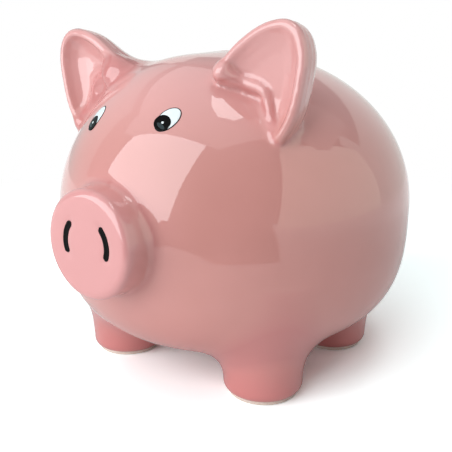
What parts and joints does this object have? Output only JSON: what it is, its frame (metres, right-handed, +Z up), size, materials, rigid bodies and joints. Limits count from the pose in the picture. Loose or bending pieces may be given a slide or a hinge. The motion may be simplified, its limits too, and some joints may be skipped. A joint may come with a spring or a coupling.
{
  "type": "piggy bank",
  "caption": "Round glazed ceramic piggy bank with a coin slot in its back, cupped ears, a disc snout, short legs and a rubber stopper in its belly.",
  "frame": {"origin": "centre of the bounding box on the plane of the feet", "axes": "+Z up, the snout points along -Y, the pig's left side is +X"},
  "size_m": [0.14, 0.1683, 0.1321],
  "materials": {
    "pink_glaze": "glossy transparent glaze over pink",
    "bare_clay": "unglazed, ground flat",
    "white_enamel": "glossy enamel",
    "black_enamel": "glossy enamel",
    "stopper_rubber": "matt soft rubber"
  },
  "bodies": {
    "bank": {"body_shell": "pink_glaze", "snout": "pink_glaze", "left_ear": "pink_glaze", "right_ear": "pink_glaze", "front_left_leg": "pink_glaze", "front_right_leg": "pink_glaze", "rear_left_leg": "pink_glaze", "rear_right_leg": "pink_glaze", "tail": "pink_glaze", "front_left_foot_ring": "bare_clay", "front_right_foot_ring": "bare_clay", "rear_left_foot_ring": "bare_clay", "rear_right_foot_ring": "bare_clay", "left_eye_white": "white_enamel", "right_eye_white": "white_enamel", "left_pupil": "black_enamel", "left_nostril": "black_enamel", "right_pupil": "black_enamel", "right_nostril": "black_enamel"},
    "stopper": {"stopper": "stopper_rubber"}
  },
  "joints": [
    {"name": "stopper_pull", "type": "slide", "parent": "bank", "child": "stopper", "axis": [0, 0, -1], "range_m": [0, 0.008]}
  ]
}
